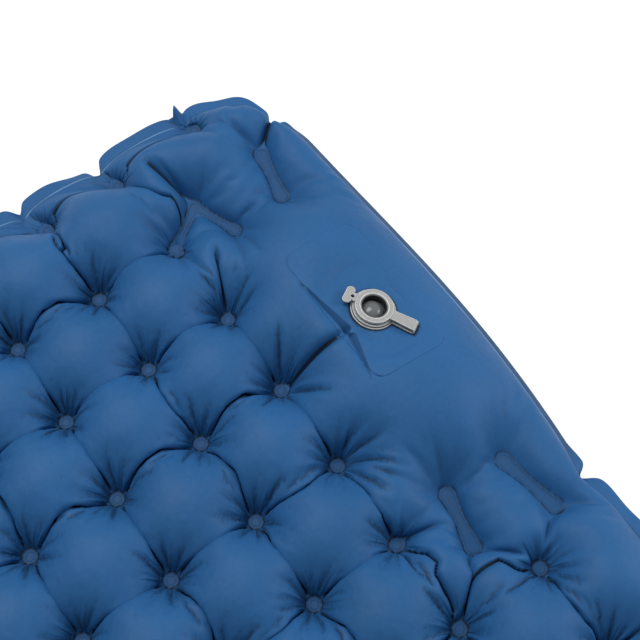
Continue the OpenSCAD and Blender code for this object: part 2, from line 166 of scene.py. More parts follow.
def weld_depth(weld, U, V):
    """How far flat points lie outside a weld's outline, the nearest points of its axis, and how
    far off those are."""
    (ax, ay), (bx, by) = weld.a, weld.b
    d, x, y = segment_nearest(U, V, weld.a, weld.b)
    length = math.hypot(bx - ax, by - ay)
    along = np.hypot(x - ax, y - ay) / max(length, 1e-9)
    middle = np.clip(np.sin(math.pi * along), 0, 1) if length else 0
    return d - weld.radius + (weld.radius - weld.waist) * middle, x, y, d


def dot_place(column, row):
    shift = (0.0, 0.0)
    if row == LAST_ROW:
        shift = LAST_ROW_SHIFTS.get(column, OTHER_SHIFT)
    return DOT_X + column * PITCH + shift[0], DOT_Y + row * PITCH + shift[1]


def weld_shapes():
    """Every weld inside the sheet."""
    shapes = []
    for column in range(FIRST_COLUMN, LAST_COLUMN + 1):
        for row in range(FIRST_ROW, LAST_ROW + 1):
            if column < LAST_COLUMN or abs(row) > POCKET_ROWS:
                place = dot_place(column, row)
                flat = ((place[0] - DOT_X) * SLACK, (place[1] - DOT_Y) * SLACK)
                if row == LAST_ROW:
                    flat = (flat[0], flat[1] + LAST_ROW_SLACK)
                shapes.append(Weld(flat, flat, DOT_R, DOT_R, flat, place, 1))
    # a bar is as slack as the sheet round it, so its flat shape is larger than the welded one
    for radius, waist, bars in ((BAR_R, BAR_WAIST, BARS), (VEE_R, VEE_WAIST, VEE)):
        for ends in bars:
            flat = [(c * FLAT_PITCH, r * FLAT_PITCH) for c, r in ends]
            size = (radius * SLACK, waist * SLACK)
            shapes.append(Weld(*flat, *size, (0, 0), (DOT_X, DOT_Y), SLACK))
    return shapes


# ---- the perimeter weld, in plan


def notch_places(numbers, start):
    """Where the rim is drawn in: in rows or columns of the flat sheet, and in metres on the pad."""
    return [(n, start + n * PITCH) for n in numbers]


RIGHT_NOTCHES = notch_places([2.83, -2.54, *range(-4, FIRST_ROW - 1, -1)], DOT_Y)
LEFT_NOTCHES = notch_places(range(FIRST_ROW, LAST_ROW + 1), DOT_Y)
FOOT_NOTCHES = notch_places(range(FIRST_COLUMN, LAST_COLUMN + 1), DOT_X)
HEAD_NOTCHES = list(zip(range(-4, 2), (-0.205, -0.132, -0.057, 0.022, 0.101, 0.192)))


def weld_path():
    """The weld line round the inflated pad, without its notches: points and outward directions,
    counterclockwise from the foot end of the right edge."""
    x0, x1, y0, y1, r = WELD_LEFT, WELD_RIGHT, WELD_FOOT, WELD_HEAD, CORNER_R
    points, outward = [], []

    def straight(a, b, count, normal):
        for t in np.arange(count) / count:
            points.append((a[0] + (b[0] - a[0]) * t, a[1] + (b[1] - a[1]) * t))
            outward.append(normal)

    def arc(x, y, start, count=80):
        for t in start + np.arange(count) / count * math.pi / 2:
            points.append((x + r * math.cos(t), y + r * math.sin(t)))
            outward.append((math.cos(t), math.sin(t)))

    straight((x1, y0 + r), (x1, y1 - r), 1600, (1, 0))
    arc(x1 - r, y1 - r, 0)
    straight((x1 - r, y1), (x0 + r, y1), 500, (0, 1))
    arc(x0 + r, y1 - r, math.pi / 2)
    straight((x0, y1 - r), (x0, y0 + r), 1600, (-1, 0))
    arc(x0 + r, y0 + r, math.pi)
    straight((x0 + r, y0), (x1 - r, y0), 500, (0, -1))
    arc(x1 - r, y0 + r, -math.pi / 2)
    return np.array(points), np.array(outward)


def running_length(points):
    """Lengths from the first point of a closed line to each point and back to the first."""
    closed = np.concatenate([points, points[:1]])
    steps = np.hypot(*np.diff(closed, axis=0).T)
    return np.concatenate([[0], np.cumsum(steps)])


def nearest_index(points, axis, value, edge):
    """The point whose coordinate is closest to value, on the side of the line beyond edge."""
    other = points[:, 1 - axis]
    outside = other > edge if edge > 0 else other < edge
    return int(np.argmin(np.abs(points[:, axis] - value) + np.where(outside, 0, 9)))


class WeldLine:
    """Where the flat pattern's weld line goes on the inflated pad."""

    def __init__(self, flat):
        self.points, self.outward = weld_path()
        self.length = running_length(self.points)
        flat_length = running_length(flat)
        pairs = []
        # each side's notches, the axis they lie along, and a line inside that side in both places
        for notches, axis, flat_edge, real_edge in (
            (RIGHT_NOTCHES, 1, 1.2 * FLAT_PITCH, 0.22),
            (LEFT_NOTCHES, 1, -4.2 * FLAT_PITCH, -0.23),
            (HEAD_NOTCHES, 0, 3.2 * FLAT_PITCH, 0.87),
            (FOOT_NOTCHES, 0, -19.2 * FLAT_PITCH, -0.87),
        ):
            for number, place in notches:
                f = nearest_index(flat, axis, number * FLAT_PITCH, flat_edge)
                p = nearest_index(self.points, axis, place, real_edge)
                pairs.append((flat_length[f], self.length[p]))
        flat_at, real_at = np.array(sorted(pairs)).T
        whole_flat, whole = flat_length[-1], self.length[-1]
        # the flat line starts a little before the real one, in the middle of the corner
        real_at = np.sort(np.where(real_at < real_at[0] - 1e-9, real_at + whole, real_at))
        flat_at = np.concatenate([flat_at[-1:] - whole_flat, flat_at, flat_at[:1] + whole_flat])
        self.real_at = np.concatenate([real_at[-1:] - whole, real_at, real_at[:1] + whole])
        self.here = np.interp(flat_length, flat_at, self.real_at)

    def at(self, index):
        """Points, outward directions, notch depths, cuts and bulges at fractional indices."""
        count = len(self.here) - 1
        here = np.interp(index, np.arange(count + 1), self.here)
        k = np.clip(np.searchsorted(self.real_at, here, side="right") - 1, 0, len(self.real_at) - 2)
        gap = self.real_at[k + 1] - self.real_at[k]
        t = (here - self.real_at[k]) / gap
        to_notch = np.minimum(t, 1 - t) * gap
        notch = NOTCH_DEPTH * np.exp(-to_notch / NOTCH_REACH)
        cut = np.exp(-((to_notch / NOTCH_CUT) ** 2))
        here = np.mod(here, self.length[-1])
        place, out = (
            np.stack([np.interp(here, self.length, np.append(v[:, a], v[0, a])) for a in (0, 1)])
            for v in (self.points, self.outward)
        )
        by_pocket = (gap > 4 * PITCH) & (out[0] > 0.5)
        from_head = np.clip((POCKET_HEAD - place[1]) / POCKET_LENGTH, 0, 1)
        beside = POCKET_BULGE * np.sin(math.pi * from_head**POCKET_LEAN)
        between = BULGE * np.minimum(gap / PITCH, 1.3) * np.abs(np.sin(math.pi * t))
        bulge = np.where(by_pocket, beside, between)
        return place, out / np.hypot(*out), notch, cut, bulge


def ring_indices(grid, inset):
    """Indices of the grid's ring, inset cells from its edge, in the order of weld_path."""
    a, b, c, d = inset, grid.nx - 1 - inset, inset, grid.ny - 1 - inset
    right = [(b, j) for j in range(c, d)]
    head = [(i, d) for i in range(b, a, -1)]
    left = [(a, j) for j in range(d, c, -1)]
    foot = [(i, c) for i in range(a, b)]
    return np.array(right + head + left + foot).T


def place_on_weld_line(grid, i, j, ring):
    """The fractional index on the weld line that a vertex of an outer ring lies beside."""
    lo, k = grid.flange, grid.flange - ring
    shrink = grid.corner / (grid.corner + k)

    def squeeze(x, last):
        start, stop = lo + grid.corner, last - lo - grid.corner
        x = np.where(x < start, start + (x - start) * shrink, x)
        return np.where(x > stop, stop + (x - stop) * shrink, x)

    x = squeeze(i.astype(float), grid.nx - 1) - lo
    y = squeeze(j.astype(float), grid.ny - 1) - lo
    w, h = grid.nx - 1 - 2 * lo, grid.ny - 1 - 2 * lo
    right, head, left = i == grid.nx - 1 - ring, j == grid.ny - 1 - ring, i == ring
    index = np.where(left, 2 * h + w - y, 2 * h + w + x)
    index = np.where(right, y, np.where(head, h + w - x, index))
    return np.clip(index, 0, 2 * (w + h))


# ---- the cloth solver

STRETCH, SQUEEZE = 0.5, 0.35  # stiffness of threads, pulled and pushed
# Families of threads: how many vertices each spans along U and V, and its two stiffnesses
THREADS = (
    (1, 0, STRETCH, SQUEEZE),
    (0, 1, STRETCH, SQUEEZE),
    (1, 1, 0.10, 0.05),
    (1, -1, 0.10, 0.05),
    (2, 0, 0.004, 0.004),
    (0, 2, 0.004, 0.004),
)
DAMPING = 0.97
PRESSURE_STRAIN = 0.05  # how far the air stretches the threads of a pillow
AIR_STEPS = 30  # in which the air comes in
PILLOW_R = 0.04
NOISE = 0.0003
POCKET_TAUT = (0.07, 0.17)  # cloth taken up across and along the pocket
EDGE_TAUT, EDGE_TAUT_REACH = 0.20, 0.062  # and along the weld line
END_TAUT = 0.12  # and between the weld line and the last row of dots
FLANGE_DROOP, FLANGE_PUCKER = 0.0025, 0.004
OUTER_X, OUTER_Y, START_Z = 0.80, 0.68, 0.004  # inflated over flat beyond the dots; a first height
FLANGE_WAVES = ((23, 0.0009), (41, 0.0008), (67, 0.0006), (97, 0.0004))  # turns and height
FLANGE_LOWEST = -0.020
POCKET_FLANGE_W, POCKET_FLANGE_DROP = 0.0062, 0.0068  # the flange hangs down beside the pocket
HANGS_FROM, HANGS_TO = 0.440, 0.865
VALVE_PLANE_REACH = 0.050  # how far round the valve the sheet stays under its plane


def finer(values):
    """A field on a grid of twice as many cells, by cubic interpolation."""
    for axis in (1, 2):
        v = np.moveaxis(values, axis, 0)
        v = np.concatenate([2 * v[:1] - v[1:2], v, 2 * v[-1:] - v[-2:-1]])
        between = (-v[:-3] + 9 * v[1:-2] + 9 * v[2:-1] - v[3:]) / 16
        out = np.empty((2 * len(v) - 5,) + v.shape[1:], v.dtype)
        out[::2] = v[1:-1]
        out[1::2] = between
        values = np.moveaxis(out, 0, axis)
    return values


def flat_start(grid):
    """The sheet before any air: each stretch of flat cloth squeezed to its inflated width."""

    def squeeze(flat, first, last, origin, outer):
        low, high, real_low = first * FLAT_PITCH, last * FLAT_PITCH, origin + first * PITCH
        real_high = real_low + (high - low) * PITCH / FLAT_PITCH
        inside = real_low + (flat - low) * PITCH / FLAT_PITCH
        below = real_low + (flat - low) * outer
        above = real_high + (flat - high) * outer
        return np.where(flat < low, below, np.where(flat > high, above, inside))

    x = squeeze(grid.U, FIRST_COLUMN, LAST_COLUMN, DOT_X, OUTER_X)
    y = squeeze(grid.V, FIRST_ROW, LAST_ROW, DOT_Y, OUTER_Y)
    return np.stack([x, y, np.full(x.shape, START_Z)])


def beside_pocket(y):
    """1 where the flange hangs down beside the pocket, with a soft end."""
    return smooth_step((y - HANGS_FROM) / 0.03) * smooth_step((HANGS_TO - y) / 0.02)


class Pattern:
    """The flat pattern at one level, with what is welded held in place."""

    def __init__(self, level):
        self.grid = grid = Grid(level)
        U, V = grid.U.copy(), grid.V.copy()
        shape = U.shape
        self.held = np.zeros(shape, bool)
        self.target = np.zeros((3,) + shape)
        self.weld = np.full(shape, 1.0)
        self.bar_d = np.full(shape, 1.0)
        for weld in weld_shapes():
            U, V = self._snap(U, V, weld)
            outside = weld_depth(weld, U, V)[0]
            inside = outside <= 1e-6
            self.held |= inside
            for axis, flat in enumerate((U, V)):
                spot = weld.real[axis] + (flat - weld.flat[axis]) / weld.scale
                self.target[axis] = np.where(inside, spot, self.target[axis])
            self.weld = np.minimum(self.weld, outside)
            if weld.a != weld.b:
                self.bar_d = np.minimum(self.bar_d, outside)
        self._hold_valve(U, V)
        self._hold_flange()

    def _snap(self, U, V, weld):
        """Moves the vertices nearest to a weld's outline onto it."""
        outside, x, y, d = weld_depth(weld, U, V)
        near = (np.abs(outside) < 0.5 * self.grid.cell) & (d > 1e-9)
        s = np.where(near, 1 - outside / np.maximum(d, 1e-9), 1)
        return np.where(near, x + (U - x) * s, U), np.where(near, y + (V - y) * s, V)

    def _hold_valve(self, U, V):
        """The sheet under the valve's base is flat, on the valve's own tilted plane."""
        u, v = (VALVE.x - DOT_X) * SLACK, (VALVE.y - DOT_Y) * SLACK
        for radius in (BASE_R, NECK_HOLE_R):
            if self.grid.cell < 0.3 * radius:
                ring = Weld((u, v), (u, v), radius, radius, (u, v), (u, v), 1)
                U, V = self._snap(U, V, ring)
        self.valve_d = np.hypot(U - u, V - v)
        under = self.valve_d <= BASE_R + 1e-6
        self.held |= under
        along = U - u
        drop = along * math.sin(VALVE_TILT)
        x, y = VALVE.x + along * math.cos(VALVE_TILT), VALVE.y + V - v
        spot = np.stack([x, y, VALVE.z - WELD_Z - drop])
        self.target = np.where(under, spot, self.target)
        self.U, self.V = U, V

    def _hold_flange(self):
        """The welded rim follows the weld line, with a soft wave and a pucker at each notch."""
        grid = self.grid
        i, j = ring_indices(grid, grid.flange)
        line = WeldLine(np.stack([self.U[i, j], self.V[i, j]], -1))
        count = len(i)
        phases = np.random.default_rng(11).uniform(0, 6.28, len(FLANGE_WAVES))
        waves = [(*wave, phase) for wave, phase in zip(FLANGE_WAVES, phases, strict=True)]
        for ring in range(grid.flange + 1):
            i, j = ring_indices(grid, ring)
            index = place_on_weld_line(grid, i, j, ring)
            place, out, notch, cut, bulge = line.at(index)
            t = (grid.flange - ring) / grid.flange
            turn = index / count * 2 * math.pi
            wave = sum(size * np.sin(n * turn + phase) for n, size, phase in waves)
            ear = np.hypot(place[0] - EAR_AT[0], place[1] - EAR_AT[1]) / EAR_WIDTH
            ear = np.exp(-(ear**2))
            width = FLANGE_W * (1 - 0.8 * cut * (1 - ear)) + 1.4 * wave + EAR_WIDER * ear
            rise = wave + FLANGE_PUCKER * cut * np.sign(wave + 0.0004) - FLANGE_DROOP
            beside = beside_pocket(place[1]) * (out[0] > 0.3)
            width += (POCKET_FLANGE_W - width) * beside
            rise += (-POCKET_FLANGE_DROP - rise) * beside
            reach = t * width + bulge - notch * (1 - 0.25 * t)
            self.target[0][i, j] = place[0] + out[0] * reach
            self.target[1][i, j] = place[1] + out[1] * reach
            self.target[2][i, j] = t * (rise * (1 - ear) + EAR_HEIGHT * ear)
        self.flange = grid.out >= 0
        self.held |= self.flange

    def taut(self):
        """How much shorter the threads are than the flat pattern, along U and along V."""
        grid = self.grid
        pu, pv = self.U / FLAT_PITCH, self.V / FLAT_PITCH
        from_column = smooth_step((pu - 0.1) / 0.5)
        across = from_column * smooth_step((2.0 - np.abs(pv)) / 0.8)
        along = from_column * smooth_step((2.6 - np.abs(pv)) / 0.5)
        inside = -grid.out * grid.cell
        by_edge = 1 - smooth_step(inside / EDGE_TAUT_REACH)
        to_side = np.minimum(grid.U - grid.U.min(), grid.U.max() - grid.U)
        to_end = np.minimum(grid.V - grid.V.min(), grid.V.max() - grid.V)
        end = to_end < to_side
        band = end & (to_end < (HEAD_CELLS + FLANGE_CELLS) * FLAT_PITCH / COARSE)
        mu = 1 - np.maximum(POCKET_TAUT[0] * across, EDGE_TAUT * by_edge * end)
        mv = 1 - np.maximum(POCKET_TAUT[1] * along, EDGE_TAUT * by_edge * ~end)
        return mu, mv - END_TAUT * band

    def threads(self):
        """(one end, other end, length, stiffness pulled, stiffness pushed) of each family."""
        U, V, (mu, mv) = self.U, self.V, self.taut()
        nx, ny = U.shape
        families = []
        for di, dj, pull, push in THREADS:
            a = (..., slice(0, nx - di), slice(max(-dj, 0), ny - max(dj, 0)))
            b = (..., slice(di, nx), slice(max(dj, 0), ny - max(-dj, 0)))
            du = (U[b] - U[a]) * (mu[a] + mu[b]) / 2
            dv = (V[b] - V[a]) * (mv[a] + mv[b]) / 2
            families.append((a, b, np.hypot(du, dv).astype(np.float32), pull, push))
        return families


def area_vectors(P, out):
    """Normals of a grid of points, as long as twice its cells' sides squared."""
    du = P[:, 2:, 1:-1] - P[:, :-2, 1:-1]
    dv = P[:, 1:-1, 2:] - P[:, 1:-1, :-2]
    out[0, 1:-1, 1:-1] = du[1] * dv[2] - du[2] * dv[1]
    out[1, 1:-1, 1:-1] = du[2] * dv[0] - du[0] * dv[2]
    out[2, 1:-1, 1:-1] = du[0] * dv[1] - du[1] * dv[0]
    return out


def settle(pattern, P, steps, rng):
    """Lets the air push the upper sheet up until its threads hold it."""
    grid = pattern.grid
    P = (P + rng.normal(0, NOISE, P.shape)).astype(np.float32)
    P = np.where(pattern.held, pattern.target.astype(np.float32), P)
    threads = pattern.threads()
    free = (~pattern.held).astype(np.float32)
    push = PRESSURE_STRAIN * STRETCH * grid.cell**2 / PILLOW_R
    air = (~pattern.flange).astype(np.float32) * push / (4 * grid.cell**2)
    lowest = np.where(pattern.flange, FLANGE_LOWEST, 0.0).astype(np.float32)
    # round the base the sheet stays under the valve's plane, so that the strap lies on it
    by_valve = pattern.valve_d < VALVE_PLANE_REACH
    slope = math.tan(VALVE_TILT)
    speed = np.zeros_like(P)
    normals = np.zeros_like(P)
    for step in range(steps):
        force = area_vectors(P, normals) * (air * min(1, (step + 1) / AIR_STEPS))
        for a, b, length, pull, squeeze in threads:
            D = P[b] - P[a]
            size = np.sqrt(D[0] * D[0] + D[1] * D[1] + D[2] * D[2]) + 1e-9
            excess = size - length
            D *= np.where(excess > 0, pull, squeeze) * excess / size
            force[a] += D
            force[b] -= D
        speed *= DAMPING
        speed += force * free
        P += speed
        np.maximum(P[2], lowest, out=P[2])
        plane = VALVE.z - WELD_Z - (P[0] - VALVE.x) * slope
        P[2] = np.where(by_valve, np.minimum(P[2], plane), P[2])
    return P


def inflate():
    """The upper sheet's points over the weld plane, with its finest pattern."""
    rng = np.random.default_rng(5)
    P = None
    for level, steps in enumerate(LEVEL_STEPS):
        pattern = Pattern(level)
        P = flat_start(pattern.grid) if P is None else finer(P)
        P = settle(pattern, P, steps, rng)
    return pattern, P.astype(float)


# ---- meshes


def link(name, data):
    obj = bpy.data.objects.new(name, data)
    bpy.context.scene.collection.objects.link(obj)
    return obj


def set_values(mesh, key, values):
    """Stores a number or a vector for each of a mesh's vertices."""
    kind, field = ("FLOAT", "value") if values.ndim == 1 else ("FLOAT_VECTOR", "vector")
    layer = mesh.attributes.new(key, kind, "POINT")
    layer.data.foreach_set(field, values.astype(np.float32).ravel())


def faces_mesh(name, coords, faces, attributes):
    """A smooth mesh of the vertices that its faces use, with values on its points."""
    sizes = np.array([len(f) for f in faces])
    corners = np.concatenate([np.asarray(f) for f in faces])
    used, corners = np.unique(corners, return_inverse=True)
    mesh = bpy.data.meshes.new(name)
    mesh.vertices.add(len(used))
    mesh.vertices.foreach_set("co", coords[used].astype(np.float32).ravel())
    mesh.loops.add(len(corners))
    mesh.loops.foreach_set("vertex_index", corners.astype(np.int32))
    mesh.polygons.add(len(sizes))
    starts = np.concatenate([[0], np.cumsum(sizes)[:-1]]).astype(np.int32)
    mesh.polygons.foreach_set("loop_start", starts)
    mesh.update(calc_edges=True)
    mesh.polygons.foreach_set("use_smooth", np.ones(len(sizes), bool))
    for key, values in attributes.items():
        set_values(mesh, key, values[used])
    mesh.validate()
    return link(name, mesh)


def quads(index, keep):
    """The quads of a grid of vertex numbers, where keep is true."""
    corners = [index[:-1, :-1], index[1:, :-1], index[1:, 1:], index[:-1, 1:]]
    return np.stack(corners, -1)[keep]


DOT_NUMBER_STEP = 0.7  # between the numbers of two dots, so that each has its own noise


def nearest_dot(P):
    """Distance to the nearest dot weld, and the direction from it with that dot's own number."""
    nearest = np.full(P[0].shape, 1.0)
    direction = np.zeros((*P[0].shape, 3))
    dots = [w for w in weld_shapes() if w.a == w.b]
    for number, weld in enumerate(dots):
        x, y = P[0] - weld.real[0], P[1] - weld.real[1]
        d = np.hypot(x, y)
        closer = d < nearest
        nearest = np.where(closer, d, nearest)
        unit = np.stack([x, y, np.full_like(x, DOT_NUMBER_STEP * number)], -1)
        unit[..., :2] /= np.maximum(d, 1e-6)[..., None]
        direction = np.where(closer[..., None], unit, direction)
    return nearest, direction


def point_values(pattern, P):
    """What the materials read on the sheets: flat coordinates, distance to a weld, distance outside
    the weld line, and how far the surface curves in or out, which the fabric turns into painted shade
    in folds and a lighter tone on ridges."""
    grid = pattern.grid
    normal = area_vectors(P, np.zeros_like(P))
    normal /= np.sqrt((normal**2).sum(0)) + 1e-12
    shade_by_hollowness = np.zeros(P.shape[1:])
    for r in (1, 2):
        along_u = P[:, 2 * r :, r:-r] + P[:, : -2 * r, r:-r]
        around = (along_u + P[:, r:-r, 2 * r :] + P[:, r:-r, : -2 * r]) / 4 - P[:, r:-r, r:-r]
        shade_by_hollowness[r:-r, r:-r] += (around * normal[:, r:-r, r:-r]).sum(0) / (r * r) / 2
    nearest, direction = nearest_dot(P)
    return {
        "cloth": np.stack([pattern.U, pattern.V, np.zeros_like(pattern.U)], -1),
        "dot_distance": nearest,
        "dot_direction": direction,
        "weld": pattern.weld,
        "rim": grid.out * grid.cell,
        "shade_by_hollowness": np.clip(shade_by_hollowness * 1000, -1, 1),
    }


def flat_values(values):
    return {k: v.reshape(-1, 3) if v.ndim == 3 else v.ravel() for k, v in values.items()}


FINE_FROM_ROW = -5  # the head end, which the camera sees, keeps the finest grid
PRESSED = 0.0002  # each sheet's distance from the weld plane


def build_top(pattern, P, values):
    """The upper sheet, with half as many cells to a pitch in the part that the camera doesn't see."""
    nx, ny = P.shape[1:]
    rows_before = FINE_FROM_ROW - FIRST_ROW
    split = pattern.grid.flange + HEAD_CELLS * FINEST // COARSE + rows_before * FINEST
    index = np.arange(nx * ny).reshape(nx, ny)
    hole = pattern.valve_d < NECK_HOLE_R - 1e-6
    touched = hole[:-1, :-1] | hole[1:, :-1] | hole[1:, 1:] | hole[:-1, 1:]
    fine = quads(index[:, split:], ~touched[:, split:])
    coarse_index = index[::2, : split + 1 : 2]
    coarse = quads(coarse_index, np.ones((len(coarse_index) - 1, coarse_index.shape[1] - 1), bool))
    # the last coarse row takes the fine row's vertices into its edges
    at_seam = np.isin(coarse[:, 2:], index[::2, split]).all(1)
    joined = [[a, b, c, (c + d) // 2, d] for a, b, c, d in coarse[at_seam].tolist()]
    coords = P.reshape(3, -1).T.copy()
    coords[:, 2] += WELD_Z + PRESSED
    faces = [*fine.tolist(), *coarse[~at_seam].tolist(), *joined]
    top = faces_mesh("pad_top", coords, faces, flat_values(values))
    close_rim(top.data)
    return top


def close_rim(mesh):
    """A narrow band from the upper sheet's cut edge down to the lower sheet's."""
    work = bmesh.new()
    work.from_mesh(mesh)
    rim = work.verts.layers.float["rim"]
    cut = [e for e in work.edges if e.is_boundary and all(v[rim] > 0 for v in e.verts)]
    added = bmesh.ops.extrude_edge_only(work, edges=cut)["geom"]
    for item in added:
        if isinstance(item, bmesh.types.BMVert):
            item.co.z -= 2 * PRESSED
    work.to_mesh(mesh)
    work.free()


def build_bottom(pattern, P, values):
    """The lower sheet: the upper one's mirror image, pressed flat where it lies on the ground."""
    Q = P[:, ::2, ::2].copy()
    flange = pattern.flange[::2, ::2]
    Q[2] = np.where(flange, Q[2], -Q[2])
    Q[2] = np.maximum(Q[2] + WELD_Z - PRESSED, 0)
    index = np.arange(Q[0].size).reshape(Q.shape[1:])
    faces = quads(index, np.ones((Q.shape[1] - 1, Q.shape[2] - 1), bool))[:, ::-1]
    values = flat_values({k: v[::2, ::2] for k, v in values.items()})
    return faces_mesh("pad_bottom", Q.reshape(3, -1).T, faces.tolist(), values)


def surface_sampler(P):
    """A function that gives the sheet's height over points of the plan near the valve."""
    x, y, z = (P[a].ravel() for a in range(3))
    near = (np.abs(x - VALVE.x) < 0.09) & (np.abs(y - VALVE.y - 0.012) < 0.12)
    count, reach = 16, 0.0014
    x, y, z = x[near], y[near], z[near]

    def height(px, py):
        out = np.empty(px.shape)
        for k in np.ndindex(px.shape):
            d2 = (x - px[k]) ** 2 + (y - py[k]) ** 2
            close = np.argpartition(d2, count)[:count]
            w = np.exp(-d2[close] / reach**2) + 1e-12
            out[k] = (z[close] * w).sum() / w.sum()
        return out

    return height


def at_valve():
    """From the valve's own frame, in metres from the patch's face, to the row frame."""
    tilt = Matrix.Rotation(VALVE_TILT, 4, "Y")
    return Matrix.Translation(VALVE) @ tilt @ Matrix.Translation((0, 0, PATCH_T))


def along_strap(x, y):
    """Points of the valve's frame, measured along its strap and across it."""
    c, s = math.cos(STRAP_ANGLE), math.sin(STRAP_ANGLE)
    return x * c + y * s, y * c - x * s


HOLE_SHADE, OUTLINE_SHADE, OUTLINE_REACH = 1.3, 0.85, 0.0009


def contact_shade(x, y):
    """Painted shade along the outline of the ring and the strap on the patch, and a painted shadow
    under the finger tab's hole.
    """
    to_ring = np.abs(np.hypot(x, y) - (BASE_RING_R - RING_TRIM))
    along, across = along_strap(x, y)
    outside = np.maximum(np.abs(across) - STRAP_HALF_W, along - STRAP_END)
    to_strap = np.where(along > 0.012, np.abs(outside), 1)
    to_hole = np.hypot(x - TAB_HOLE[0], y - TAB_HOLE[1])
    # painted shadow under the finger tab's hole, and painted shade along the ring's and the strap's
    # outlines
    shade_under_tab_hole = HOLE_SHADE * np.exp(-((to_hole / TAB_HOLE_R) ** 4))
    shade_along_outline = OUTLINE_SHADE * np.exp(-np.minimum(to_ring, to_strap) / OUTLINE_REACH)
    return np.maximum(shade_along_outline, shade_under_tab_hole)


SKIRT_DEPTH, SUNK_DEPTH = 0.0012, 0.0011  # the patch's edge and the sheet under it, down


def build_patch(P):
    """The reinforcement under the valve: a rounded plate that lies on the sheet."""
    rings, segments = 48, 240
    undented = P.copy()
    undented[2] += wedge_dents(P[0], P[1])[0]
    height = surface_sampler(undented)
    w, up, down, r = PATCH_HALF_W, PATCH_UP, PATCH_DOWN, PATCH_R
    outline = []
    for k in range(segments):
        # a rounded rectangle by its support in each direction
        t = 2 * math.pi * k / segments
        c, s = math.cos(t), math.sin(t)
        half_h, mid = (up + down) / 2, (up - down) / 2
        reach = min(w / max(abs(c), 1e-9), half_h / max(abs(s), 1e-9))
        x, y = c * reach, s * reach
        dx, dy = abs(x) - (w - r), abs(y) - (half_h - r)
        if dx > 0 and dy > 0:
            d = math.hypot(dx, dy)
            x = math.copysign(w - r + dx * r / d, x)
            y = math.copysign(half_h - r + dy * r / d, y)
        outline.append((x, y + mid))
    outline = np.array(outline)
    inner = NECK_HOLE_R * outline / np.hypot(*outline.T)[:, None]
    # two more rings beyond the outline make its rounded edge and a skirt down into the sheet
    steps = np.concatenate([np.linspace(0, 1, rings) ** 0.8, [1.006, 1.010]])
    plan = inner[None] + (outline - inner)[None] * steps[:, None, None]
    x, y = VALVE.x + plan[..., 0], VALVE.y + plan[..., 1]
    drop, shade = wedge_dents(x, y)
    z = height(x, y) + WELD_Z + PRESSED - drop
    lift = [PATCH_T] * rings + [PATCH_T * 0.6, -SKIRT_DEPTH]
    z += np.array(lift)[:, None]
    count = len(steps)
    index = np.arange(count * segments).reshape(count, segments)
    index = np.concatenate([index, index[:, :1]], 1)
    faces = quads(index, np.ones((count - 1, segments), bool))
    coords = np.stack([x, y, z], -1).reshape(-1, 3)
    values = {
        "cloth": np.stack([plan[..., 0], plan[..., 1], np.zeros_like(x)], -1).reshape(-1, 3),
        "weld": np.full(x.size, 0.05),
        "dot_distance": np.full(x.size, 0.05),
        "rim": np.full(x.size, -0.05),
        # painted shade along the valve's outlines and in the dents
        "shade_by_hollowness": np.maximum(contact_shade(plan[..., 0], plan[..., 1]), shade).ravel(),
    }
    return faces_mesh("valve_patch_sheet", coords, faces.tolist(), values)


# In plan: ends, depth and reach. Two long dents beside the patch, then deep folds from the rim's
# notches to the nearest welds and inside the last pillows
FOLDS = [
    ((0.1830, 0.6385), (0.1215, 0.6395), 0.0120, 0.0020),
    ((0.2390, 0.6640), (0.2395, 0.6400), 0.0018, 0.0014),
    ((0.2660, 0.8700), (0.2361, 0.8440), 0.014, 0.0020),
    ((0.1010, 0.9110), (0.1080, 0.8930), 0.014, 0.0022),
    ((0.0220, 0.9120), (0.0340, 0.8900), 0.014, 0.0022),
    ((0.1382, 0.8834), (0.1540, 0.8330), 0.012, 0.0022),
]
BROAD_IRONING, IRONING_ROUNDS = 0.06, 14
CREASE_DEPTH, CREASE_DEEP = 0.010, 0.9  # and how many cells wide it is deep
CREASE_PULL = 0.45  # how far a crease's flanks lean over it
CREASE_WIDTH, CREASE_REACH = 2, 5  # in cells, of its flanks
STRIP_REACH = 9  # cells each side of the straight way in which a crease may run
SIDEWAYS_COST = 0.0006


def lowest_path(heights):
    """The lowest way along the middle axis of a strip of heights, as offsets for each step."""
    steps, width = heights.shape
    middle = width // 2
    cost = np.full(width, 9.0)
    cost[middle] = heights[0, middle]
    came = np.zeros((steps, width), int)
    for k in range(1, steps):
        choices = np.stack([np.roll(cost, 1), cost, np.roll(cost, -1)])
        choices[0, 0] = choices[2, -1] = 9.0
        choices[[0, 2]] += SIDEWAYS_COST
        came[k] = choices.argmin(0) - 1
        cost = choices.min(0) + heights[k]
    path = [middle]
    for k in range(steps - 1, 0, -1):
        path.append(path[-1] + came[k][path[-1]])
    return np.array(path[::-1]) - middle


def crease_between(P, start, end):
    """Sharpens the valley between two dots of the grid into a fold that its flanks lean over."""
    (i0, j0), (i1, j1) = start, end
    along_u = j0 == j1
    Q = P if along_u else P.transpose(0, 2, 1)
    low, mid = (i0, j0) if along_u else (j0, i0)
    high = i1 if along_u else j1
    strip = Q[:, low : high + 1, mid - STRIP_REACH : mid + STRIP_REACH + 1]
    path = lowest_path(strip[2].astype(float))
    count = len(path)
    t = np.arange(count) / (count - 1)
    taper = np.clip(np.minimum(t, 1 - t) * 8 - 0.7, 0, 1)
    rows = np.arange(count)
    centre = strip[:, rows, path + STRIP_REACH].copy()
    for offset in range(-CREASE_REACH, CREASE_REACH + 1):
        at = path + STRIP_REACH + offset
        ok = (at >= 0) & (at < strip.shape[2])
        weight = taper * math.exp(-abs(offset) / CREASE_WIDTH)
        here = strip[:, rows[ok], at[ok]]
        pull = CREASE_PULL * weight[ok] * (offset != 0)
        here[:2] += (centre[:2, ok] - here[:2]) * pull
        here[2] -= CREASE_DEPTH * math.exp(-abs(offset) / CREASE_DEEP) * taper[ok]
        strip[:, rows[ok], at[ok]] = here


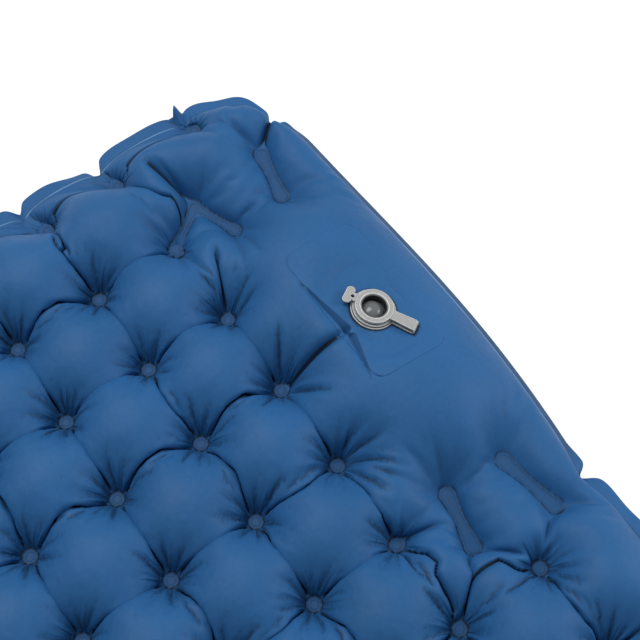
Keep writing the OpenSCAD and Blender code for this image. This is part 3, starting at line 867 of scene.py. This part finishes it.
def press_creases(pattern, P):
    """Every pair of neighbouring dots has a fold between them."""
    grid = pattern.grid
    first_i = grid.flange + SIDE_CELLS * FINEST // COARSE
    first_j = grid.flange + HEAD_CELLS * FINEST // COARSE

    def is_dot(column, row):
        beside_valve = column == LAST_COLUMN and abs(row) <= POCKET_ROWS
        return column <= LAST_COLUMN and row <= LAST_ROW and not beside_valve

    for column in range(FIRST_COLUMN, LAST_COLUMN + 1):
        for row in range(FIRST_ROW, LAST_ROW + 1):
            i = first_i + (column - FIRST_COLUMN) * FINEST
            j = first_j + (row - FIRST_ROW) * FINEST
            for di, dj in ((1, 0), (0, 1)):
                to_vee = (column, row, dj) == (0, 1, 1)
                if is_dot(column, row) and is_dot(column + di, row + dj) and not to_vee:
                    crease_between(P, (i, j), (i + di * FINEST, j + dj * FINEST))
    P[2] = np.maximum(P[2], np.where(pattern.flange, FLANGE_LOWEST, 0.0005 * ~pattern.held))
    return P


def smoother(pattern, P):
    """Irons small wrinkles out of the taut band inside the weld line and round the bars."""
    inside = -pattern.grid.out * pattern.grid.cell
    by_rim = smooth_step((0.085 - inside) / 0.030)
    by_bars = 0.7 * smooth_step((0.060 - pattern.bar_d) / 0.030)
    weight = np.maximum(np.maximum(by_rim, BROAD_IRONING), by_bars)
    weight = (weight * ~pattern.held)[1:-1, 1:-1] * 0.5
    for _ in range(IRONING_ROUNDS):
        around = (P[:, 2:, 1:-1] + P[:, :-2, 1:-1] + P[:, 1:-1, 2:] + P[:, 1:-1, :-2]) / 4
        P[:, 1:-1, 1:-1] += (around - P[:, 1:-1, 1:-1]) * weight
    return P


# Flat, one-sided dents in the patch's left edge: narrow end, wide end, depth and width
WEDGES = [
    ((0.1738, 0.6960), (0.1806, 0.6350), 0.0052, 0.0066),
    ((0.1719, 0.5900), (0.1806, 0.6350), 0.0052, 0.0066),
]
# near the dents the painted shade of folds is held low; the dents and the flange beside the pocket
# get painted shade of their own
BY_WEDGE, HOLLOW_BY_WEDGE = 0.008, 0.12  # near them the surface counts as no hollower than this
WEDGE_SHADE, RIM_SHADE = 0.15, 0.24
WEDGE_LIP = 0.001  # how far the steep side of a dent reaches


def wedge_dents(x, y):
    """How deep the dents are at points of the plan, and how much shade lies in them."""
    drop, shade = np.zeros(x.shape), np.zeros(x.shape)
    for a, b, depth, width in WEDGES:
        length = math.hypot(b[0] - a[0], b[1] - a[1])
        along = ((x - a[0]) * (b[0] - a[0]) + (y - a[1]) * (b[1] - a[1])) / length**2
        side = ((y - a[1]) * (b[0] - a[0]) - (x - a[0]) * (b[1] - a[1])) / length
        side *= 1 if b[1] < a[1] else -1
        taper = np.clip(along, 0, 1) ** 0.8 * smooth_step((1.01 - along) / 0.06)
        slope = np.clip(1 - side / (width * taper + 1e-5), 0, 1)
        profile = np.where(side < 0, np.exp(np.minimum(side, 0) / WEDGE_LIP), slope)
        drop += depth * taper**0.6 * profile
        inside = smooth_step((side + 0.0008) / 0.0008) * smooth_step(slope / 0.12) * (taper > 0.03)
        shade = np.maximum(shade, WEDGE_SHADE * inside)
    return drop, shade


def add_shade(pattern, P, values):
    """Shade in the dents, and on the flange where it hangs down beside the pocket."""
    shade_by_hollowness = values["shade_by_hollowness"]
    for a, b, _, _ in WEDGES:
        beside = segment_nearest(P[0], P[1], a, b)[0] < BY_WEDGE
        shade_by_hollowness = np.where(beside, np.minimum(shade_by_hollowness, HOLLOW_BY_WEDGE), shade_by_hollowness)
    outside = smooth_step((values["rim"] - 0.0002) / 0.001)
    rim_shade = RIM_SHADE * beside_pocket(P[1]) * outside * (P[0] > 0.2)
    values["shade_by_hollowness"] = np.maximum(np.maximum(shade_by_hollowness, wedge_dents(P[0], P[1])[1]), rim_shade)


def sink_under_patch(P):
    """Keeps the sheet a little below the patch that is welded on it."""
    x, y = P[0] - VALVE.x, P[1] - VALVE.y
    inside = np.minimum(PATCH_HALF_W - np.abs(x), np.minimum(PATCH_UP - y, y + PATCH_DOWN))
    beyond_base = smooth_step((np.hypot(x, y) - NECK_HOLE_R) / 0.004)
    P[2] -= SUNK_DEPTH * smooth_step((inside - 0.001) / 0.003) * beyond_base


def press_dents(pattern, P):
    """The folds, and the dents that the stiff patch makes in the soft pocket beside it."""
    free = smooth_step((pattern.valve_d - BASE_R - 0.002) / 0.006) * ~pattern.held
    for a, b, depth, reach in FOLDS:
        d, x, y = segment_nearest(P[0], P[1], a, b)
        length = math.hypot(b[0] - a[0], b[1] - a[1])
        t = np.hypot(x - a[0], y - a[1]) / length
        taper = np.clip(np.sin(math.pi * np.clip(t, 0.02, 0.98)), 0, 1) ** 0.5
        P[2] -= depth * taper * np.exp(1 - np.sqrt(1 + (d / reach) ** 2)) * free
    P[2] -= wedge_dents(P[0], P[1])[0] * free
    P[2] = np.maximum(P[2], np.where(pattern.flange, FLANGE_LOWEST, 0.0))
    return P


# ---- materials


class Nodes:
    """A material's node tree, with a short call for each kind of node that is used here."""

    def __init__(self, name):
        self.material = bpy.data.materials.new(name)
        self.material.use_nodes = True
        self.tree = self.material.node_tree
        self.shader = self.tree.nodes["Principled BSDF"]

    def join(self, node, inputs):
        for key, value in inputs.items():
            if isinstance(value, bpy.types.NodeSocket):
                self.tree.links.new(value, node.inputs[key])
            else:
                node.inputs[key].default_value = value
        return node.outputs

    def add(self, kind, inputs=None, **settings):
        """The outputs of a new node."""
        node = self.tree.nodes.new("ShaderNode" + kind)
        for key, value in settings.items():
            setattr(node, key, value)
        return self.join(node, inputs or {})

    def math(self, operation, value, *others):
        for other in others:
            value = self.add("Math", {0: value, 1: other}, operation=operation)[0]
        return value

    def times(self, *values):
        return self.math("MULTIPLY", *values)

    def plus(self, *values):
        return self.math("ADD", *values)

    def ramp(self, value, start, end, low, high, smooth=False):
        """A value between start and end, led over to one between low and high."""
        limits = {"From Min": start, "From Max": end, "To Min": low, "To Max": high}
        shape = "SMOOTHSTEP" if smooth else "LINEAR"
        return self.add("MapRange", {"Value": value, **limits}, interpolation_type=shape)["Result"]

    def attribute(self, name, output="Fac"):
        return self.add("Attribute", attribute_name=name)[output]

    def noise(self, vector, scale, detail=3.0, roughness=0.55):
        inputs = {"Vector": vector, "Scale": scale, "Detail": detail, "Roughness": roughness}
        return self.add("TexNoise", inputs)["Fac"]

    def mottle(self, vector, scale, low, high, detail=3.0):
        return self.ramp(self.noise(vector, scale, detail), 0.3, 0.7, low, high)

    def tint(self, colour, shade):
        return self.add("VectorMath", {0: colour, "Scale": shade}, operation="SCALE")[0]

    def mix(self, factor, a, b):
        return self.add("Mix", {0: factor, 4: a, 5: b}, data_type="VECTOR")[1]

    def finish(self, colour, gloss, height):
        """The material, with its shader led by these."""
        bump = self.add("Bump", {"Height": height, "Strength": 1.0, "Distance": 1.0})[0]
        self.join(self.shader, {"Base Color": colour, "Roughness": gloss, "Normal": bump})
        return self.material


WEAVE_PERIOD = 0.0008
RING_DEPTH, RING_EDGE = 0.0034, 0.0008  # the ring in each dot, in from its outline
WEAVE_HEIGHT, RING_HEIGHT, CRUMPLE_HEIGHT, PLEAT_HEIGHT = 0.00003, 0.00025, 0.0006, 0.0014
GRAIN_HEIGHT = 0.00004  # of moulded plastic
# the colour of scuffs, and of the painted highlight along the weld line
RUBBED, PAINTED_RIM_HIGHLIGHT = (0.09, 0.13, 0.17), (0.17, 0.32, 0.55)


def pleat_height(nodes):
    """Small sharp pleats that run out from every dot, between -0.5 and 0.5."""
    direction = nodes.attribute("dot_direction", "Vector")
    distance = nodes.attribute("dot_distance")
    around = nodes.math("SUBTRACT", nodes.noise(direction, 2.5, 1.0), 0.5)
    ridge = nodes.ramp(nodes.math("ABSOLUTE", around, 0.0), 0.0, 0.16, 0.5, -0.5)
    reach = nodes.mottle(direction, 2.3, 0.012, 0.034, 1.0)
    fade = nodes.ramp(nodes.math("DIVIDE", distance, reach), 0.45, 1.0, 1, 0, smooth=True)
    start = nodes.ramp(distance, 0.0070, 0.0085, 0, 1, smooth=True)
    return nodes.times(fade, start, ridge)


def fabric_material(name, colour):
    """Coated nylon: a fine weave under a satin film, lighter on ridges, with painted shade in folds.
    """
    nodes = Nodes(name)
    sheen = {"Sheen Weight": 0.05, "Sheen Roughness": 0.45, "Sheen Tint": (0.35, 0.55, 0.9, 1)}
    plain = {"Base Color": (*colour, 1), "Roughness": 0.5, "Specular IOR Level": 0.27}
    nodes.join(nodes.shader, {**plain, **sheen})
    cloth, pleats = nodes.attribute("cloth", "Vector"), pleat_height(nodes)
    shade_by_hollowness, weld, rim = (nodes.attribute(key) for key in ("shade_by_hollowness", "weld", "rim"))

    # colour: broad unevenness of the dye, fine mottling, painted shade in folds, lighter ridges,
    # darker welds, and painted light and shade on the pleats
    shade = nodes.times(
        nodes.mottle(cloth, 9.0, 0.93, 1.07),
        nodes.mottle(cloth, 260.0, 0.965, 1.035, 2.0),
        # painted shade in folds, dents, along the valve's outlines and on the hanging flange; a
        # lighter tone on ridges
        nodes.ramp(shade_by_hollowness, 0.03, 0.44, 1.0, 0.12),
        nodes.ramp(shade_by_hollowness, -0.05, -0.5, 1.0, 1.22),
        nodes.ramp(weld, -0.0012, 0.0002, 0.76, 1.0),
        # painted shade in the pleats' grooves and a painted highlight on their ridges
        nodes.ramp(pleats, -0.5, 0.5, 0.90, 1.16),
    )
    # over it, streaky scuffs and a painted highlight along the weld line
    stretched = {"Vector": cloth, "Rotation": (0, 0, 0.7), "Scale": (40, 260, 1)}
    streaks = nodes.noise(nodes.add("Mapping", stretched)[0], 1.0, 4.0, 0.7)
    scuffs = nodes.times(
        nodes.ramp(streaks, 0.58, 0.72, 0, 1),
        nodes.ramp(nodes.noise(cloth, 17.0, 2.0), 0.56, 0.68, 0, 1),
    )
    line = nodes.times(
        nodes.ramp(rim, -0.0026, -0.0010, 0, 0.8, smooth=True),
        nodes.ramp(rim, -0.0006, 0.0006, 1, 0, smooth=True),
    )
    scuffed = tuple(0.6 * c + d for c, d in zip(colour, RUBBED, strict=True))
    shown = nodes.mix(nodes.times(scuffs, 0.22), nodes.tint(colour, shade), scuffed)
    shown = nodes.mix(line, shown, PAINTED_RIM_HIGHLIGHT)

    # gloss: satin film, duller where it is rubbed
    gloss = nodes.plus(nodes.mottle(cloth, 35.0, 0.50, 0.62), nodes.times(scuffs, 0.12))

    # relief: threads, the soft ring pressed into each dot, fine crumpling, and the pleats
    wave = {"Vector": cloth, "Scale": 2 * math.pi / (20 * WEAVE_PERIOD)}
    threads = [
        nodes.add("TexWave", wave, wave_type="BANDS", bands_direction=axis)["Fac"]
        for axis in ("X", "Y")
    ]
    ring = nodes.times(
        nodes.ramp(weld, -RING_DEPTH - RING_EDGE, -RING_DEPTH, 0, 1, smooth=True),
        nodes.ramp(weld, -RING_DEPTH, -RING_DEPTH + RING_EDGE, 1, 0, smooth=True),
        RING_HEIGHT,
    )
    relief = nodes.plus(
        nodes.times(nodes.plus(*threads), WEAVE_HEIGHT),
        ring,
        nodes.times(nodes.noise(cloth, 55.0, 4.0, 0.6), CRUMPLE_HEIGHT),
        nodes.times(pleats, PLEAT_HEIGHT),
    )
    return nodes.finish(shown, gloss, relief)


def moulded_material(name, colour, roughness, edges=1.0):
    """Moulded plastic or rubber: faint mottling, uneven gloss, a painted highlight on sharp outer
    edges and painted shade in inner corners (both scaled by edges), painted shade in grooves and
    gaps, and a fine grain.
    """
    nodes = Nodes(name)
    nodes.join(nodes.shader, {"Base Color": (*colour, 1), "Roughness": roughness})
    place = nodes.add("TexCoord")["Object"]
    ridge, corner, painted_groove_shade = (nodes.attribute(key) for key in ("ridge", "corner", "painted_groove_shade"))
    # tone: mottling, a painted highlight on outer edges, painted shade in inner corners, and painted
    # shade in grooves and gaps
    tone = nodes.times(
        nodes.mottle(place, 420.0, 0.93, 1.06),
        nodes.ramp(ridge, 0.15, 0.9, 1.0, 1.0 + 1.1 * edges),
        nodes.ramp(corner, 0.15, 0.9, 1.0, 1.0 - 0.65 * edges),
        nodes.ramp(painted_groove_shade, 0.0, 1.0, 1.0, 0.12),
    )
    gloss = nodes.mottle(place, 900.0, roughness - 0.06, roughness + 0.08, 2.0)
    grain = nodes.times(nodes.noise(place, 2600.0, 2.0), GRAIN_HEIGHT)
    return nodes.finish(nodes.tint(colour, tone), gloss, grain)


PAD_BLUE = (0.019, 0.113, 0.300)
PATCH_BLUE = (0.020, 0.116, 0.305)

# ---- the sheets

pattern, sheet_points = inflate()
sheet_points = smoother(pattern, sheet_points)
sheet_points = press_creases(pattern, sheet_points)
# the valve's patch dents the upper sheet only
lower_points = sheet_points.copy()
sheet_points = press_dents(pattern, sheet_points)
values = point_values(pattern, sheet_points)
add_shade(pattern, sheet_points, values)
pad_look = fabric_material("pad_fabric_look", PAD_BLUE)
patch_look = fabric_material("patch_fabric_look", PATCH_BLUE)
patch = build_patch(sheet_points)
sink_under_patch(sheet_points)
top = build_top(pattern, sheet_points, values)
bottom = build_bottom(pattern, lower_points, point_values(pattern, lower_points))
for piece, stands_for, finish, look in (
    (top, "top_sheet", "pad_fabric", pad_look),
    (bottom, "bottom_sheet", "pad_fabric", pad_look),
    (patch, "valve_patch", "patch_fabric", patch_look),
):
    piece.data.materials.append(look)
    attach(piece, "pad")
    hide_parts(stands_for)
patch_area = 2 * PATCH_HALF_W * (PATCH_UP + PATCH_DOWN)
patch_area -= (4 - math.pi) * PATCH_R**2 + math.pi * NECK_HOLE_R**2

# ---- the valve

grey_look = moulded_material("valve_plastic_look", (0.41, 0.415, 0.41), 0.36)
seat_look = moulded_material("seat_plastic_look", (0.40, 0.41, 0.40), 0.36)
seal_look = moulded_material("seal_rubber_look", (0.15, 0.163, 0.172), 0.15, edges=0.3)
flap_look = moulded_material("flap_rubber_look", (0.70, 0.70, 0.68), 0.4)
VOXEL = 0.0003
SHARP_ANGLE, EDGE_STEP = math.radians(28), 0.0003
BORE_R, STRAP_KEEPS_R, TRIM_FADE = 0.012, 0.024, 0.011  # from where the rings are drawn in
# Narrow gaps in the valve that get painted shade: heights over the patch, radii, and how dark
GAPS = (
    (0.0012, 0.0021, 0.0165, 0.0185, 0.8),  # under the seat's ring
    (0.0029, 0.0041, 0.0146, 0.0162, 0.8),  # under the cap's ring
    (0.0013, 0.0050, 0.0195, 1.0, 0.3),  # between the strap's halves
)
DOME_GROOVE_R, DOME_GROOVE_TOP, CUP_R = 0.0086, 0.0061, 0.0125


def in_valve_frame(mesh):
    """A mesh's points in the valve's frame, in rows, and how far from its axis they are."""
    points = np.empty(len(mesh.vertices) * 3)
    mesh.vertices.foreach_get("co", points)
    to_valve = np.array(at_valve().inverted())
    points = points.reshape(-1, 3) @ to_valve[:3, :3].T + to_valve[:3, 3]
    return points, np.hypot(points[:, 0], points[:, 1])


def trim_rings(mesh):
    """Draws the rings and the finger tab in towards the axis, as the photo has them. The bore
    and the strap's fold stay where they are."""
    points, r = in_valve_frame(mesh)
    strap_side = along_strap(points[:, 0], points[:, 1])[0] > 0
    trim = RING_TRIM * smooth_step((r - BORE_R) / TRIM_FADE)
    trim *= np.where(strap_side, 1 - smooth_step((r - STRAP_KEEPS_R) / TRIM_FADE), 1)
    points[:, :2] *= (1 - trim / np.maximum(r, 1e-6))[:, None]
    back = np.array(at_valve())
    points = points @ back[:3, :3].T + back[:3, 3]
    mesh.vertices.foreach_set("co", points.astype(np.float32).ravel())


def store_wall_shade(mesh):
    """How much painted shade each point gets, by how deep it lies in the recess round the dome or in
    a narrow gap of the valve.
    """
    points, r = in_valve_frame(mesh)
    z = points[:, 2]
    painted_groove_shade = smooth_step((r - DOME_GROOVE_R) / 0.0008) * smooth_step((DOME_GROOVE_TOP - z) / 0.002)
    gaps = sum(dark * ((z > a) & (z < b) & (r > c) & (r < d)) for a, b, c, d, dark in GAPS)
    set_values(mesh, "painted_groove_shade", np.where(r > CUP_R, gaps, painted_groove_shade))


def edge_points(work, convex):
    """Points along a shape's sharp edges."""
    points = []
    for edge in work.edges:
        two_faces = len(edge.link_faces) == 2 and edge.is_convex == convex
        if two_faces and edge.calc_face_angle() >= SHARP_ANGLE:
            a, b = (v.co for v in edge.verts)
            count = max(1, int((b - a).length / EDGE_STEP))
            points += [a.lerp(b, (k + 0.5) / count) for k in range(count)]
    return points


def nearness(mesh, points, reach):
    """1 at the nearest of the points, 0 far from all of them, for each of a mesh's vertices."""
    if not points:
        return np.zeros(len(mesh.vertices))
    tree = KDTree(len(points))
    for k, point in enumerate(points):
        tree.insert(point, k)
    tree.balance()
    distance = np.array([tree.find(v.co)[2] for v in mesh.vertices])
    return np.exp(-((distance / reach) ** 2))


def moulded(name, node, body, look):
    """A moulded piece from a CAD node's shape, with its edges rounded as a mould leaves them."""
    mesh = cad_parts[node].data.copy()
    mesh.name = name
    work = bmesh.new()
    work.from_mesh(mesh)
    bmesh.ops.remove_doubles(work, verts=work.verts, dist=1e-6)
    ridges, corners = edge_points(work, True), edge_points(work, False)
    work.to_mesh(mesh)
    work.free()
    piece = link(name, mesh)
    remesh = piece.modifiers.new("remesh", "REMESH")
    remesh.mode = "VOXEL"
    remesh.voxel_size = VOXEL
    soften = piece.modifiers.new("soften", "SMOOTH")
    soften.iterations = 4
    soften.factor = 0.5
    solid = piece.evaluated_get(bpy.context.evaluated_depsgraph_get())
    piece.data = bpy.data.meshes.new_from_object(solid)
    piece.modifiers.clear()
    # nearness to sharp outer edges and inner corners, where the material paints highlight and shade
    for key, points, reach in (("ridge", ridges, 0.00045), ("corner", corners, 0.0006)):
        set_values(piece.data, key, nearness(piece.data, points, reach))
    trim_rings(piece.data)
    store_wall_shade(piece.data)
    piece.data.polygons.foreach_set("use_smooth", np.ones(len(piece.data.polygons), bool))
    piece.data.materials.clear()
    piece.data.materials.append(look)
    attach(piece, body)
    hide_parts(node)
    return piece


moulded("base_ring", "valve_base", "pad", grey_look)
moulded("seat_ring", "valve_seat", "pad", seat_look)
moulded("cap_ring", "valve_cap", "cap", grey_look)
moulded("seal_cup", "cap_seal", "cap", seal_look)
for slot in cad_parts["check_flap"].material_slots:
    slot.material = flap_look

# ---- stage, lights and camera


def build_floor():
    bpy.ops.mesh.primitive_plane_add(size=14, location=(0, 0, -0.0006))
    floor = bpy.context.object
    floor.name = "floor"
    nodes = Nodes("floor_white")
    nodes.tree.nodes.remove(nodes.shader)
    lit = nodes.add("BsdfDiffuse", {"Color": (0.75, 0.75, 0.75, 1)})[0]
    seen = nodes.add("BsdfDiffuse", {"Color": (0.35, 0.35, 0.35, 1)})[0]
    glow = nodes.add("Emission", {"Color": (1, 1, 1, 1), "Strength": 0.76})[0]
    both = nodes.add("AddShader", {0: seen, 1: glow})[0]
    ray = nodes.add("LightPath")
    rays = ray["Is Camera Ray"], ray["Is Glossy Ray"], ray["Is Transmission Ray"]
    shown = nodes.add("MixShader", {0: nodes.math("MAXIMUM", *rays), 1: lit, 2: both})[0]
    nodes.tree.links.new(shown, nodes.tree.nodes["Material Output"].inputs[0])
    floor.data.materials.append(nodes.material)


def area_light(name, place, target, size, power):
    data = bpy.data.lights.new(name, "AREA")
    data.energy = power
    data.shape = "RECTANGLE"
    data.size, data.size_y = size
    lamp = link(name, data)
    lamp.location = place
    lamp.rotation_euler = (Vector(target) - Vector(place)).to_track_quat("-Z", "Y").to_euler()


def build_camera():
    data = bpy.data.cameras.new("camera")
    data.lens = 67.5
    data.sensor_width = 36
    camera = link("camera", data)
    azimuth, elevation, distance = math.radians(324.49), math.radians(65.48), 1.0285
    target = Vector((0.18018, 0.67399, WELD_Z))
    level = math.cos(elevation)
    back = Vector((math.sin(azimuth) * level, -math.cos(azimuth) * level, math.sin(elevation)))
    camera.location = target + back * distance
    camera.rotation_euler = (-back).to_track_quat("-Z", "Y").to_euler()
    bpy.context.scene.camera = camera


def build_world():
    world = bpy.data.worlds.new("studio")
    world.use_nodes = True
    background = world.node_tree.nodes["Background"]
    background.inputs["Color"].default_value = (1, 1, 1, 1)
    background.inputs["Strength"].default_value = 0.37
    bpy.context.scene.world = world


build_floor()
build_camera()
build_world()
area_light("key", (0.1, 1.7, 2.2), (0.1, 0.4, 0), (1.5, 1.2), 32)
area_light("low", (1.8, 0.0, 0.8), (0.2, 0.5, 0), (0.7, 0.6), 11)
bpy.context.scene.view_settings.view_transform = "Standard"
